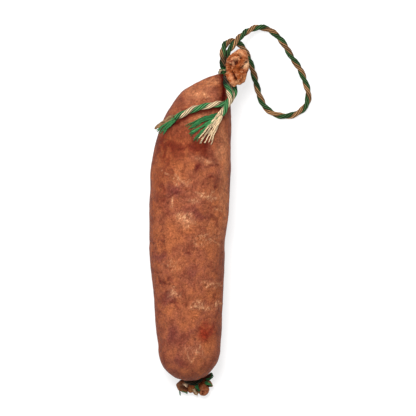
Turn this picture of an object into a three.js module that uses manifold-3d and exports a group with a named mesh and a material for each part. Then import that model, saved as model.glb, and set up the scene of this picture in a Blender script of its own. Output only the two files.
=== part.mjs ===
// Garlic pork sausage: a dry-cured filling in a natural casing, with both ends gathered and tied
// in two-colour twine, a hanging loop and two loose tails at the neck.
// Millimetres. +X right, +Y towards the hanging loop, +Z up from the table it lies on.
import * as THREE from 'three';
import { mergeVertices } from 'three/addons/utils/BufferGeometryUtils.js';
import Module from 'manifold-3d';

const wasm = await Module();
wasm.setup();

// Driving dimensions
const TWINE = 4.1;
const GAP = 0.32;
const NECK = { centre: [19.2, 97.6, 21.5], radius: 2.8 };
const END_NECK = { tiltDown: 38, tiltRight: 9, radius: 3.2, length: 6.5 };
const END_TWINE = 3.2;
const KNOB_CENTRE = [25.0, 100.6, 36.0];
const TUFT_CENTRE = [-4.0, -106.0, 6.6];
// The route numbers are measured from a point that lies this far from the middle of the whole
const MIDDLE = [-0.27, -0.27];

// Outline of the filled casing: y along it, left and right from above, low and high from the side
const STATIONS = [
  [-83.2, -27.0, 13.3, 2.6, 40.6],
  [-70.2, -28.4, 14.3, 1.6, 42.0],
  [-50.7, -30.0, 15.6, 0.4, 43.4],
  [-31.2, -31.5, 16.5, -0.4, 45.2],
  [-11.7, -32.6, 16.8, -0.8, 46.2],
  [7.8, -32.6, 18.3, -0.8, 47.3],
  [27.3, -31.5, 19.7, -0.8, 47.6],
  [40.3, -30.2, 20.5, -0.6, 47.2],
  [53.3, -28.1, 20.7, 0.2, 46.0],
  [66.3, -23.7, 20.5, 2.0, 43.4],
  [74.1, -19.8, 20.3, 3.8, 40.8],
  [79.3, -16.4, 20.4, 5.4, 38.4],
  [84.5, -12.2, 20.6, 7.8, 35.6],
  [89.7, -4.2, 21.1, 11.6, 31.9],
  [92.3, 1.0, 21.4, 14.2, 29.3],
  [94.2, 6.2, 21.7, 16.4, 26.9],
  [95.0, 11.6, 21.9, 17.8, 25.3],
  [95.6, 16.2, 22.0, 18.7, 24.3],
  [98.2, 16.4, 22.0, 18.7, 24.3],
  [100.2, 16.9, 21.9, 19.0, 24.1],
];

const SKIN = { rings: 46, sides: 40, capRings: 15, neckRings: 3 };

// Pleats of the gathered ends and the fillet into the far neck: depth as a share of the radius,
// and how soon they fade away from the neck
const NECK_PLEATS = { depth: 0.10, fade: 5, start: 96.4, ramp: 1.5 };
const END_PLEATS = { depth: 0.16, fade: 0.22 };
const END_FILLET = { depth: 0.10, fade: 0.08 };
const BODY_RADIUS = 24;

// Small helpers on [x, y, z] lists
const add = (a, b, s = 1) => [a[0] + s * b[0], a[1] + s * b[1], a[2] + s * b[2]];
const dot = (a, b) => a[0] * b[0] + a[1] * b[1] + a[2] * b[2];
const radians = (degrees) => degrees * Math.PI / 180;
const mix = (a, b, t) => a + (b - a) * t;

// Monotone curve through the rows of a table, with its knots spaced by the distance between rows
function tableCurve(rows) {
  const knots = [0];
  for (let i = 1; i < rows.length; i += 1) {
    knots.push(knots[i - 1] + Math.hypot(rows[i][0] - rows[i - 1][0], rows[i][1] - rows[i - 1][1]));
  }
  const slopes = rows.map((row, i) => row.map((value, c) => {
    if (i === 0 || i === rows.length - 1) return c === 0 && i === 0 ? 1 : 0;
    const before = (value - rows[i - 1][c]) / (knots[i] - knots[i - 1]);
    const after = (rows[i + 1][c] - value) / (knots[i + 1] - knots[i]);
    return before * after <= 0 ? 0 : 2 * before * after / (before + after);
  }));
  const last = knots[knots.length - 1];
  return (share) => {
    const s = share * last;
    let i = 0;
    while (i < knots.length - 2 && s > knots[i + 1]) i += 1;
    const span = knots[i + 1] - knots[i];
    const t = (s - knots[i]) / span;
    const startPull = t * (1 - t) * (1 - t);
    const endPull = t * t * (t - 1);
    const ease = t * t * (3 - 2 * t);
    return rows[i].map((value, c) => mix(value, rows[i + 1][c], ease)
      + span * (startPull * slopes[i][c] + endPull * slopes[i + 1][c]));
  };
}

// Slow dents and swellings of the skin, in mm along its radius
function dents(angle, y) {
  return 0.30 * Math.sin(2 * angle + 0.045 * y + 0.6) + 0.22 * Math.sin(3 * angle - 0.08 * y + 2.1)
    + 0.16 * Math.sin(5 * angle + 0.13 * y) + 0.14 * Math.sin(0.19 * y + 1.3);
}

// Pleats of the gathered casing round a tied neck, from -1 to 1
function pleats(angle) {
  return 0.6 * Math.cos(9 * angle + 1.0) + 0.4 * Math.cos(14 * angle + 2.3);
}

// Skin loft: rings from the tied neck at the loop's end, down the body and round the far end
function skinRings() {
  const rings = [];
  const outline = tableCurve(STATIONS);
  for (let k = 0; k <= SKIN.rings; k += 1) {
    const [y, left, right, low, high] = outline(1 - k / SKIN.rings);
    const radius = (right - left + high - low) / 4;
    const { depth, fade, start, ramp } = NECK_PLEATS;
    const pleating = depth * Math.exp((y - start) / fade) * Math.min(1, Math.max(0, (start - y) / ramp));
    const denting = Math.min(1, radius / BODY_RADIUS) / BODY_RADIUS;
    rings.push((angle) => {
      const swell = 1 + pleating * pleats(angle) + denting * dents(angle, y);
      const x = (left + right) / 2 + swell * (right - left) / 2 * Math.cos(angle);
      const z = (low + high) / 2 + swell * (high - low) / 2 * Math.sin(angle);
      return [x, y, Math.max(0, z)];
    });
  }
  return rings.concat(endCapRings());
}

// Far end: a dome whose pole leans down and to the right, drawn out into the second tied neck
function endCapRings() {
  const [y, left, right, low, high] = STATIONS[0];
  const centre = [(left + right) / 2, y, (low + high) / 2];
  const half = [(right - left) / 2, (right - left) / 2, (high - low) / 2];
  const neck = END_NECK.radius / half[0];
  const down = radians(END_NECK.tiltDown);
  const aside = radians(END_NECK.tiltRight);
  const rings = [];
  const domeRings = SKIN.capRings - SKIN.neckRings;
  for (let k = 1; k <= SKIN.capRings; k += 1) {
    const lean = Math.min(1, k / domeRings);
    const ring = Math.max(neck, Math.cos(lean * Math.PI / 2));
    const stretch = Math.max(0, k - domeRings) / SKIN.neckRings;
    const fillet = END_FILLET.depth * Math.exp(-(ring - neck) / END_FILLET.fade);
    const rise = Math.sqrt(1 - ring * ring) + fillet + stretch * END_NECK.length / half[1];
    const pleating = END_PLEATS.depth * Math.exp(-(ring - neck) / END_PLEATS.fade) * (1 - 0.8 * stretch);
    rings.push((angle) => {
      const out = ring * (1 + pleating * pleats(angle));
      const swell = 1 + (1 - lean) * dents(angle, y) / BODY_RADIUS;
      const unit = [out * Math.cos(angle) * swell, -rise, out * Math.sin(angle) * swell];
      const [a, b] = [down * lean, aside * lean];
      const leaned = [unit[0], unit[1] * Math.cos(a) - unit[2] * Math.sin(a),
        unit[1] * Math.sin(a) + unit[2] * Math.cos(a)];
      const turned = [leaned[0] * Math.cos(b) - leaned[1] * Math.sin(b),
        leaned[0] * Math.sin(b) + leaned[1] * Math.cos(b), leaned[2]];
      const point = turned.map((value, i) => centre[i] + value * half[i]);
      return [point[0], point[1], Math.max(0, point[2])];
    });
  }
  return rings;
}

// Axis of the far end's neck: where it leaves the dome, and its direction
function endNeckAxis() {
  const [y, left, right, low, high] = STATIONS[0];
  const [a, b] = [radians(END_NECK.tiltDown), radians(END_NECK.tiltRight)];
  const half = [(right - left) / 2, (right - left) / 2, (high - low) / 2];
  const unit = [Math.cos(a) * Math.sin(b), -Math.cos(a) * Math.cos(b), -Math.sin(a)];
  const direction = unit.map((value, i) => value * half[i]);
  const length = Math.sqrt(dot(direction, direction));
  const start = [(left + right) / 2 + direction[0], y + direction[1], (low + high) / 2 + direction[2]];
  return { start, direction: direction.map((value) => value / length) };
}

// Closed geometry from rings of equal count, with a fan on each end
function loft(rings, sides) {
  const positions = [];
  const index = [];
  rings.forEach((ring) => {
    for (let i = 0; i < sides; i += 1) positions.push(...ring(2 * Math.PI * i / sides));
  });
  for (let k = 0; k < rings.length - 1; k += 1) {
    for (let i = 0; i < sides; i += 1) {
      const a = k * sides + i;
      const b = k * sides + (i + 1) % sides;
      index.push(a, b, a + sides, b, b + sides, a + sides);
    }
  }
  [0, rings.length - 1].forEach((k) => {
    const middle = [0, 0, 0];
    for (let i = 0; i < 3 * sides; i += 1) middle[i % 3] += positions[3 * k * sides + i] / sides;
    const hub = positions.length / 3;
    positions.push(...middle);
    for (let i = 0; i < sides; i += 1) {
      const a = k * sides + i;
      const b = k * sides + (i + 1) % sides;
      if (k === 0) index.push(hub, b, a);
      else index.push(hub, a, b);
    }
  });
  const geometry = new THREE.BufferGeometry();
  geometry.setAttribute('position', new THREE.Float32BufferAttribute(positions, 3));
  geometry.setIndex(index);
  return geometry;
}

// Folded casing. Each roll is a chain of [x, y, z, radius] points, measured from its lump's centre.
// Folds swell together where they touch; cuts are hollows and slits in them.
const KNOB = {
  centre: KNOB_CENTRE,
  detail: 9,
  reach: 22,
  blend: 1.0,
  cutBlend: 0.6,
  core: [0.2, -0.6, -1.2, 6.2, 10.4, 5.0],
  folds: [
    // the stem that comes up out of the tie
    [[-5.8, -1.8, -14.5, 2.7], [-4.4, -0.4, -12.0, 2.9], [-1.6, 0.6, -7.0, 3.8]],
    // the thick lip that curls over the top and back to the middle
    [[-5.8, 4.2, 1.0, 1.7], [-3.9, 6.3, 2.2, 1.9], [-1.3, 8.2, 2.6, 2.1], [1.3, 9.5, 2.4, 2.3],
      [3.4, 8.9, 2.6, 2.4], [4.2, 6.8, 3.0, 2.3], [3.9, 4.8, 3.4, 2.1], [2.8, 2.7, 3.9, 1.8],
      [1.2, 1.2, 4.2, 1.5], [-0.6, 0.2, 4.0, 1.3], [-2.4, -0.4, 3.4, 1.1]],
    // the inner lip of the swirl
    [[-5.2, 3.6, 3.0, 1.0], [-3.6, 5.4, 4.0, 1.1], [-1.6, 6.2, 4.4, 1.1], [0.2, 6.1, 4.5, 1.0],
      [1.0, 4.8, 4.4, 0.9], [0.6, 3.4, 4.2, 0.7]],
    // the small upright ridge in the swirl
    [[-4.6, 2.6, 3.2, 0.7], [-3.2, 2.9, 4.4, 0.8], [-2.9, 0.8, 4.6, 0.8], [-3.6, -1.2, 4.0, 0.8]],
    // the smooth lobe at the lower left
    [[-4.2, -2.6, 2.0, 1.5], [-5.2, -4.6, 1.4, 2.6], [-4.6, -6.9, 1.4, 2.8], [-3.4, -9.6, 0.8, 2.2],
      [-2.6, -11.3, 0.2, 1.6]],
    // the lobe in the middle
    [[-1.4, -2.6, 3.0, 1.9], [-0.2, -5.0, 3.0, 2.2], [0.6, -7.2, 2.2, 1.8]],
    // the thin ridge and the lobe at the lower right
    [[2.2, -3.4, 3.4, 1.3], [1.9, -6.3, 3.6, 1.2], [0.3, -8.8, 2.6, 1.1], [-1.2, -10.4, 1.2, 1.0]],
    [[3.4, -5.0, 1.4, 2.2], [2.6, -8.2, 0.6, 2.3], [0.8, -9.6, 0.2, 2.0]],
    // the two swellings on the right
    [[5.0, 1.4, 1.0, 2.2], [4.8, -1.4, 1.2, 2.2]],
    [[4.9, 5.0, 1.0, 1.9], [5.2, 4.0, 0.6, 1.8]],
  ],
  cuts: [
    [[-1.0, 7.5, 5.6, 0.5], [0.9, 7.5, 5.8, 0.6]],
    [[-2.4, 4.2, 5.6, 0.9], [-0.8, 3.2, 5.6, 1.1]],
    [[-6.4, 0.6, 3.6, 0.9], [-5.0, -1.0, 4.2, 0.8]],
    [[-1.9, -1.8, 5.4, 0.5], [-2.6, -5.4, 4.2, 0.6], [-1.4, -7.4, 4.0, 0.7], [-0.8, -9.0, 3.4, 0.5]],
    [[3.6, -7.2, 3.8, 0.6], [3.0, -6.6, 4.4, 0.4]],
    [[6.6, 3.2, 2.6, 0.9], [4.8, 2.9, 4.6, 0.5]],
  ],
};

const TUFT = {
  centre: TUFT_CENTRE,
  detail: 8,
  reach: 18,
  blend: 0.8,
  cutBlend: 0.6,
  core: [0.3, 0.8, 0.2, 6.4, 3.6, 3.4],
  folds: [
    // the neck that comes out of the tie
    [[0.9, 3.6, 1.9, 3.2], [0.9, 0.6, 0.4, 3.8]],
    // the broad flap on the left and the lobe that it runs into
    [[-3.5, 1.4, 0.6, 2.2], [-7.2, 1.4, 0.2, 2.0], [-9.6, -0.4, -0.6, 1.7], [-8.6, -2.4, -1.4, 1.7],
      [-6.4, -3.6, -2.2, 1.5], [-4.8, -4.2, -2.6, 1.2]],
    // the pale lobes in the middle
    [[-2.2, -1.2, 0.6, 1.8], [-1.8, -3.6, -1.0, 1.8]],
    [[0.4, -1.6, 0.6, 1.7], [0.6, -3.8, -1.2, 1.6], [1.8, -5.4, -2.4, 1.5]],
    // the round bud on the right
    [[6.2, -1.4, 0.4, 2.6], [7.2, -3.2, -0.6, 3.0], [6.6, -4.4, -1.6, 2.7]],
    // the pointed flap on the far right and the curl above it
    [[6.8, 2.2, 1.0, 1.6], [10.2, 1.6, 0.2, 1.3], [11.9, -0.8, -0.6, 0.8]],
    [[6.2, 4.2, 2.2, 1.3], [9.4, 4.4, 1.8, 1.1]],
    // the thin pale fold on the left
    [[-6.2, 0.9, 2.2, 0.8], [-4.2, -1.0, 2.0, 0.8]],
  ],
  cuts: [
    [[6.2, -4.6, 1.6, 1.1], [5.6, -6.2, 0.4, 0.7]],
    [[-3.6, -0.6, 3.4, 0.9], [-3.4, -3.4, 1.6, 0.8]],
    [[-8.2, -0.6, 2.6, 0.8], [-6.4, -2.2, 1.4, 0.7]],
  ],
};

// Distance to a chain of tapered rolls
function chainDistance(point, chain) {
  let nearest = Infinity;
  for (let i = 0; i + 1 < chain.length; i += 1) {
    const start = chain[i];
    const along = add(chain[i + 1], start, -1);
    const offset = add(point, start, -1);
    const t = Math.min(1, Math.max(0, dot(offset, along) / dot(along, along)));
    const gap = add(offset, along, -t);
    nearest = Math.min(nearest, Math.sqrt(dot(gap, gap)) - mix(start[3], chain[i + 1][3], t));
  }
  return nearest;
}

// Smaller of two distances, rounded over where they are alike
function smoothMin(a, b, k) {
  const h = Math.max(0, k - Math.abs(a - b)) / k;
  return Math.min(a, b) - h * h * k / 4;
}

function lumpDistance(point, lump) {
  const [x, y, z, a, b, c] = lump.core;
  const scaled = Math.hypot((point[0] - x) / a, (point[1] - y) / b, (point[2] - z) / c);
  const core = (scaled - 1) * Math.min(a, b, c);
  const join = (distance, chain) => smoothMin(distance, chainDistance(point, chain), lump.blend);
  const cut = (distance, chain) => -smoothMin(-distance, chainDistance(point, chain), lump.cutBlend);
  return lump.cuts.reduce(cut, lump.folds.reduce(join, core));
}

// Lump of folds as one closed surface: a ball whose points are drawn in until they meet the folds
function lumpGeometry(lump) {
  const ball = new THREE.IcosahedronGeometry(1, lump.detail);
  ball.deleteAttribute('normal');
  ball.deleteAttribute('uv');
  const geometry = mergeVertices(ball, 1e-4);
  const position = geometry.attributes.position;
  for (let i = 0; i < position.count; i += 1) {
    const ray = [position.getX(i), position.getY(i), position.getZ(i)];
    let reach = lump.reach;
    for (let step = 0; step < 80; step += 1) {
      reach -= 0.7 * lumpDistance(ray.map((value) => value * reach), lump);
    }
    const point = ray.map((value, c) => lump.centre[c] + value * reach);
    position.setXYZ(i, point[0], point[1], Math.max(0, point[2]));
  }
  return geometry;
}

// Twine routes, from the tie outwards
const LOOP_ROUTE = [
  [15.8, 102.1, 24.5], [16.8, 105.8, 23.8], [18.2, 109.8, 23.2], [21.0, 113.8, 23.2], [23.4, 117.2, 22.2],
  [26.8, 120.8, 18.6], [31.9, 124.6, 12.6], [38.7, 126.9, 7.2], [45.2, 125.4, 3.9], [50.8, 121.2, 2.5],
  [55.6, 115.2, 2.1], [60.0, 107.6, 2.1], [65.2, 100.1, 2.1], [68.6, 92.0, 2.1], [70.9, 84.0, 2.1],
  [69.8, 76.6, 2.1], [64.6, 71.4, 2.1], [57.0, 69.0, 2.1], [48.8, 70.4, 2.1], [42.8, 75.0, 2.2],
  [39.6, 81.0, 3.0], [37.4, 88.4, 4.6], [35.4, 96.2, 6.8], [33.0, 104.0, 9.4], [30.2, 110.4, 11.8],
  [26.8, 115.2, 14.0], [22.3, 117.6, 17.0], [18.1, 116.8, 20.8], [15.7, 113.3, 24.6], [15.0, 108.9, 27.2],
  [14.8, 104.8, 28.4], [15.4, 100.8, 29.2],
];
const LONG_TAIL_ROUTE = [
  [21.4, 93.4, 28.7], [22.4, 89.4, 27.6], [22.7, 85.6, 27.2], [21.9, 81.9, 28.3], [19.7, 78.5, 31.7],
  [16.1, 76.8, 36.4], [11.4, 76.4, 39.8], [6.4, 75.6, 42.1], [1.0, 74.5, 43.5], [-4.4, 72.9, 44.0],
  [-9.8, 70.5, 43.5], [-15.0, 67.9, 42.0], [-20.0, 65.0, 39.4], [-24.2, 62.2, 36.4], [-27.0, 60.3, 34.2],
];
const SHORT_TAIL_ROUTE = [
  [17.0, 94.0, 30.8], [17.2, 90.9, 32.6], [18.2, 87.6, 34.2], [19.3, 84.6, 35.4], [19.7, 81.6, 37.0],
  [19.0, 78.6, 39.3], [17.9, 76.0, 40.9], [16.5, 73.4, 41.4], [14.9, 70.8, 41.7], [13.1, 68.2, 42.4],
  [11.4, 65.5, 43.7], [9.6, 62.3, 45.0], [7.9, 59.0, 46.4], [6.2, 55.6, 47.5], [4.4, 52.0, 48.2],
];

function sectionShape(radius, sides) {
  const shape = new THREE.Shape();
  for (let i = 0; i < sides; i += 1) {
    const angle = 2 * Math.PI * i / sides;
    if (i === 0) shape.moveTo(radius, 0);
    else shape.lineTo(radius * Math.cos(angle), radius * Math.sin(angle));
  }
  return shape;
}

function cordGeometry(route, diameter, steps, sides = 8) {
  const extrudePath = new THREE.CatmullRomCurve3(route.map((point) => new THREE.Vector3(...point)));
  const options = { steps, extrudePath, bevelEnabled: false };
  return new THREE.ExtrudeGeometry(sectionShape(diameter / 2, sides), options);
}

// The same route with both ends drawn out straight
function lengthened(route, extra) {
  const [first, second] = route;
  const [last, before] = [route[route.length - 1], route[route.length - 2]];
  const stretch = (end, inner) => {
    const away = add(end, inner, -1);
    return add(end, away, extra / Math.sqrt(dot(away, away)));
  };
  return [stretch(first, second), ...route.slice(1, -1), stretch(last, before)];
}

// One turn of twine round a neck
function wrapGeometry(centre, direction, ringRadius, diameter) {
  const ring = new THREE.TorusGeometry(ringRadius, diameter / 2, 8, 28);
  const toAxis = new THREE.Quaternion().setFromUnitVectors(
    new THREE.Vector3(0, 0, 1), new THREE.Vector3(...direction).normalize());
  ring.applyQuaternion(toAxis);
  return ring.translate(...centre);
}

// Scraps of yarn that poke out of the far end's gather: route and thickness
const YARNS = {
  end_yarn_green_curl: { width: 1.1, green: true, route: [
    [-12.7, -112.3, 0.7], [-13.0, -110.0, 1.6], [-12.6, -108.3, 3.4], [-11.4, -107.9, 5.0]] },
  end_yarn_green_left: { width: 1.4, green: true, route: [
    [-11.6, -109.5, 4.6], [-10.0, -110.6, 4.4], [-8.2, -111.5, 3.8]] },
  end_yarn_green_leaf: { width: 1.8, green: true, route: [
    [-2.3, -106.7, 11.2], [-1.4, -108.7, 10.0], [-0.4, -110.7, 8.2]] },
  end_yarn_green_right: { width: 1.5, green: true, route: [
    [3.6, -104.4, 11.0], [6.0, -105.3, 9.6], [8.0, -106.4, 7.6]] },
  end_yarn_green_high: { width: 1.3, green: true, route: [
    [4.4, -102.4, 10.4], [6.6, -101.8, 9.6], [8.1, -100.6, 9.2], [8.2, -99.0, 9.6], [7.4, -97.7, 10.2]] },
  end_yarn_natural_left: { width: 1.2, green: false, route: [
    [-3.6, -109.0, 8.8], [-2.6, -110.9, 7.4], [-1.6, -112.5, 5.4]] },
};

const SKIN_FINISH = new THREE.MeshStandardMaterial({ color: 0x96583a, roughness: 0.55, metalness: 0 });
const GREEN_TWINE = new THREE.MeshStandardMaterial({ color: 0x3f8d5a, roughness: 0.9, metalness: 0 });
const NATURAL_TWINE = new THREE.MeshStandardMaterial({ color: 0xd8b48a, roughness: 0.9, metalness: 0 });

function toSolid(geometry) {
  const bare = geometry.clone();
  bare.deleteAttribute('normal');
  bare.deleteAttribute('uv');
  const merged = mergeVertices(bare, 1e-4);
  return new wasm.Manifold(new wasm.Mesh({
    numProp: 3,
    vertProperties: new Float32Array(merged.attributes.position.array),
    triVerts: new Uint32Array(merged.index.array),
  }));
}

function toGeometry(solid) {
  const mesh = solid.getMesh();
  const geometry = new THREE.BufferGeometry();
  geometry.setAttribute('position', new THREE.BufferAttribute(mesh.vertProperties, 3));
  geometry.setIndex(new THREE.BufferAttribute(mesh.triVerts, 1));
  return geometry;
}

function neckWrap(extra = 0) {
  const ringRadius = NECK.radius + GAP + TWINE / 2;
  return wrapGeometry(NECK.centre, [0, 1, 0], ringRadius, TWINE + 2 * extra);
}

function endWrap(extra = 0) {
  const { start, direction } = endNeckAxis();
  const ringRadius = END_NECK.radius + GAP + END_TWINE / 2;
  return wrapGeometry(add(start, direction, 3.6), direction, ringRadius, END_TWINE + 2 * extra);
}

// The casing and its filling are one solid, grooved where the twine lies in it
function sausageGeometry() {
  const parts = [loft(skinRings(), SKIN.sides), lumpGeometry(KNOB), lumpGeometry(TUFT)].map(toSolid);
  const whole = parts[0].add(parts[1]).add(parts[2]);
  const yarnBeds = Object.values(YARNS).map(({ route, width }) => (
    cordGeometry(lengthened(route, 1.2 * GAP), width + 2.3 * GAP, 5)));
  const beds = [neckWrap(GAP), endWrap(GAP)].concat(yarnBeds);
  return toGeometry(beds.reduce((solid, bed) => solid.subtract(toSolid(bed)), whole));
}

function namedMesh(name, geometry, material) {
  const mesh = new THREE.Mesh(geometry, material);
  mesh.name = name;
  mesh.position.set(-MIDDLE[0], -MIDDLE[1], 0);
  return mesh;
}

const sausage = new THREE.Group();
sausage.add(namedMesh('sausage', sausageGeometry(), SKIN_FINISH));
sausage.add(namedMesh('neck_tie', neckWrap(), GREEN_TWINE));
sausage.add(namedMesh('end_tie', endWrap(), GREEN_TWINE));
sausage.add(namedMesh('loop_cord', cordGeometry(LOOP_ROUTE, TWINE, 60), GREEN_TWINE));
sausage.add(namedMesh('tail_long', cordGeometry(LONG_TAIL_ROUTE, TWINE, 28), GREEN_TWINE));
sausage.add(namedMesh('tail_short', cordGeometry(SHORT_TAIL_ROUTE, TWINE, 22), NATURAL_TWINE));
Object.entries(YARNS).forEach(([name, { route, width, green }]) => {
  sausage.add(namedMesh(name, cordGeometry(route, width, 5), green ? GREEN_TWINE : NATURAL_TWINE));
});

export default sausage;
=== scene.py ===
# Garlic pork sausage on a pale table, seen from straight above. The casing is gathered and tied at
# both ends with a twine of one green and one natural ply, which also makes the loop and two tails.
# The tables are in millimetres, from a point that lies MIDDLE away from the origin of the solids.
import math

import bmesh
import bpy
import numpy as np
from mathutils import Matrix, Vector, noise


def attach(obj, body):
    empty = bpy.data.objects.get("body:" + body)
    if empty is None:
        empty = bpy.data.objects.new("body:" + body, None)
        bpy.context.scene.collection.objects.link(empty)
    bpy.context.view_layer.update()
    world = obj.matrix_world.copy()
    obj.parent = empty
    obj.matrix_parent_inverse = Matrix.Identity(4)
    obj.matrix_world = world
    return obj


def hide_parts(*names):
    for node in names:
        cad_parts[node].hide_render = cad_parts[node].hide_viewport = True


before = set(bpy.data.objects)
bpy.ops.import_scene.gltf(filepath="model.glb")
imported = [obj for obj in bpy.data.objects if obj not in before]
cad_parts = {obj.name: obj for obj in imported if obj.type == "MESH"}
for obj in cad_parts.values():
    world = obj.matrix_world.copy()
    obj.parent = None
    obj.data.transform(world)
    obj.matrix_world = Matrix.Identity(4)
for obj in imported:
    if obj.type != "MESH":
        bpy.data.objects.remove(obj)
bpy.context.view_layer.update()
rng = np.random.default_rng(7)

# Driving dimensions, the same as the solids'
MM = 0.001
MIDDLE = np.array([-0.27, -0.27, 0.0])
TWINE = 4.1
END_TWINE = 3.2
GAP = 0.32
NECK_CENTRE = np.array([19.2, 97.6, 21.5])
NECK_RADIUS = 2.8
END_TILT_DOWN = math.radians(38)
END_TILT_RIGHT = math.radians(9)
END_NECK_RADIUS = 3.2
END_NECK_LENGTH = 6.5
END_TIE_AT = 3.6
BODY_RADIUS = 24.0
NECK_PLEAT_DEPTH = 0.10
NECK_PLEAT_FADE = 5.0
NECK_PLEAT_START = 96.4
NECK_PLEAT_RAMP = 1.5
END_PLEAT_DEPTH = 0.16
END_PLEAT_FADE = 0.22
END_FILLET_DEPTH = 0.10
END_FILLET_FADE = 0.08

# Outline of the filled casing: y along it, left and right from above, low and high from the side.
# Next to the neck the skin swells up against the twine, where the solid keeps a gap to it.
STATIONS = np.array([
    [-83.2, -27.0, 13.3, 2.6, 40.6],
    [-70.2, -28.4, 14.3, 1.6, 42.0],
    [-50.7, -30.0, 15.6, 0.4, 43.4],
    [-31.2, -31.5, 16.5, -0.4, 45.2],
    [-11.7, -32.6, 16.8, -0.8, 46.2],
    [7.8, -32.6, 18.3, -0.8, 47.3],
    [27.3, -31.5, 19.7, -0.8, 47.6],
    [40.3, -30.2, 20.5, -0.6, 47.2],
    [53.3, -28.1, 20.7, 0.2, 46.0],
    [66.3, -23.7, 20.5, 2.0, 43.4],
    [74.1, -19.8, 20.3, 3.8, 40.8],
    [79.3, -16.4, 20.4, 5.4, 38.4],
    [84.5, -12.2, 20.6, 7.8, 35.6],
    [89.7, -4.2, 21.1, 11.6, 31.9],
    [92.3, 1.0, 21.4, 14.2, 29.3],
    [94.4, 5.6, 22.4, 15.8, 27.6],
    [95.7, 9.6, 23.4, 16.6, 26.8],
    [96.5, 12.2, 24.0, 17.4, 26.0],
    [96.9, 16.2, 22.0, 18.7, 24.3],
    [98.2, 16.4, 22.0, 18.7, 24.3],
    [100.2, 16.9, 21.9, 19.0, 24.1],
])
BODY_RINGS = 280
CAP_RINGS = 44
CAP_NECK_RINGS = 9
SIDES = 224

# Folded casing at the two ends: chains of [x, y, z, radius] from each lump's centre, and cuts in them.
# The second fold of the knob and three cuts of the tuft are more than the solids have, and the tuft's
# bud is a little fuller here.
KNOB = {
    "centre": (25.0, 100.6, 36.0), "reach": 22, "blend": 1.0, "core": (0.2, -0.6, -1.2, 6.2, 10.4, 5.0),
    "folds": [
        [(-5.8, -1.8, -14.5, 2.7), (-4.4, -0.4, -12.0, 2.9), (-1.6, 0.6, -7.0, 3.8)],
        [(-5.4, 3.4, -0.6, 2.2), (-6.0, 1.0, -1.0, 2.0), (-5.6, -1.4, -0.6, 2.2)],
        [(-5.8, 4.2, 1.0, 1.7), (-3.9, 6.3, 2.2, 1.9), (-1.3, 8.2, 2.6, 2.1), (1.3, 9.5, 2.4, 2.3),
         (3.4, 8.9, 2.6, 2.4), (4.2, 6.8, 3.0, 2.3), (3.9, 4.8, 3.4, 2.1), (2.8, 2.7, 3.9, 1.8),
         (1.2, 1.2, 4.2, 1.5), (-0.6, 0.2, 4.0, 1.3), (-2.4, -0.4, 3.4, 1.1)],
        [(-5.2, 3.6, 3.0, 1.0), (-3.6, 5.4, 4.0, 1.1), (-1.6, 6.2, 4.4, 1.1), (0.2, 6.1, 4.5, 1.0),
         (1.0, 4.8, 4.4, 0.9), (0.6, 3.4, 4.2, 0.7)],
        [(-4.6, 2.6, 3.2, 0.7), (-3.2, 2.9, 4.4, 0.8), (-2.9, 0.8, 4.6, 0.8), (-3.6, -1.2, 4.0, 0.8)],
        [(-4.2, -2.6, 2.0, 1.5), (-5.2, -4.6, 1.4, 2.6), (-4.6, -6.9, 1.4, 2.8), (-3.4, -9.6, 0.8, 2.2),
         (-2.6, -11.3, 0.2, 1.6)],
        [(-1.4, -2.6, 3.0, 1.9), (-0.2, -5.0, 3.0, 2.2), (0.6, -7.2, 2.2, 1.8)],
        [(2.2, -3.4, 3.4, 1.3), (1.9, -6.3, 3.6, 1.2), (0.3, -8.8, 2.6, 1.1), (-1.2, -10.4, 1.2, 1.0)],
        [(3.4, -5.0, 1.4, 2.2), (2.6, -8.2, 0.6, 2.3), (0.8, -9.6, 0.2, 2.0)],
        [(5.0, 1.4, 1.0, 2.2), (4.8, -1.4, 1.2, 2.2)],
        [(4.9, 5.0, 1.0, 1.9), (5.2, 4.0, 0.6, 1.8)],
    ],
    "cuts": [
        [(-1.0, 7.5, 5.6, 0.5), (0.9, 7.5, 5.8, 0.6)],
        [(-2.4, 4.2, 5.6, 0.9), (-0.8, 3.2, 5.6, 1.1)],
        [(-6.4, 0.6, 3.6, 0.9), (-5.0, -1.0, 4.2, 0.8)],
        [(-1.9, -1.8, 5.4, 0.5), (-2.6, -5.4, 4.2, 0.6), (-1.4, -7.4, 4.0, 0.7), (-0.8, -9.0, 3.4, 0.5)],
        [(3.6, -7.2, 3.8, 0.6), (3.0, -6.6, 4.4, 0.4)],
        [(6.6, 3.2, 2.6, 0.9), (4.8, 2.9, 4.6, 0.5)],
    ],
}
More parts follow.
